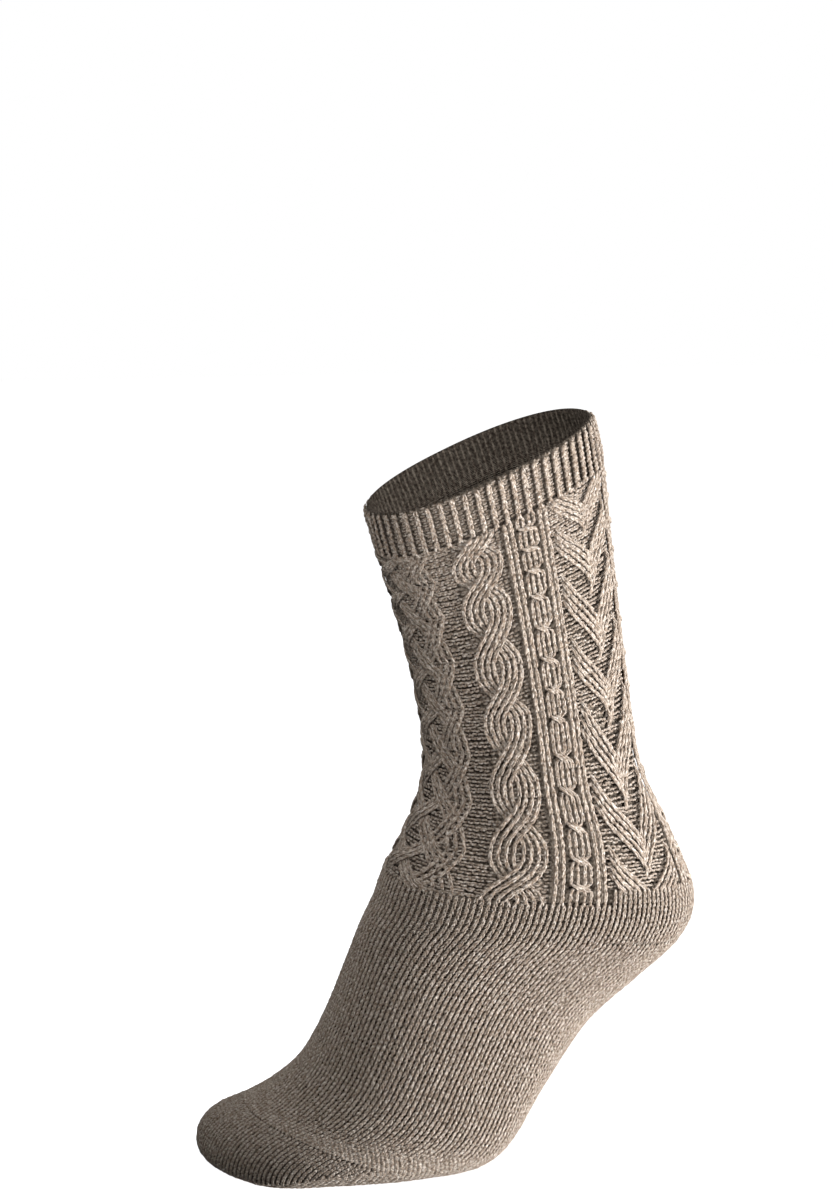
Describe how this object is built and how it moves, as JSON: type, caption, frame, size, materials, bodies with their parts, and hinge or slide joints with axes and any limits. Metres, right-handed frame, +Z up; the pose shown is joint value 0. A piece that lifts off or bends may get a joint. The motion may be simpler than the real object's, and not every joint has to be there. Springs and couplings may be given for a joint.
{
  "type": "cable knit sock",
  "caption": "Calf-low wool sock with raised cables down the leg, ribbed open cuff and plain knitted foot, held in the form of a worn left foot",
  "frame": {"origin": "the middle of the narrow ankle section, where the wearer's ankle sits", "axes": "+Z up the leg, toes towards -Y, +X towards the little toe of a left foot"},
  "size_m": [0.0957, 0.2236, 0.3209],
  "materials": {
    "cuff_wool": "marled taupe wool, ribbed",
    "leg_wool": "marled taupe wool, cabled",
    "foot_wool": "marled taupe wool, plain knit"
  },
  "bodies": {
    "root": {"rib_cuff": "cuff_wool", "cable_leg": "leg_wool", "heel": "foot_wool", "foot": "foot_wool", "toe": "foot_wool"}
  },
  "joints": []
}
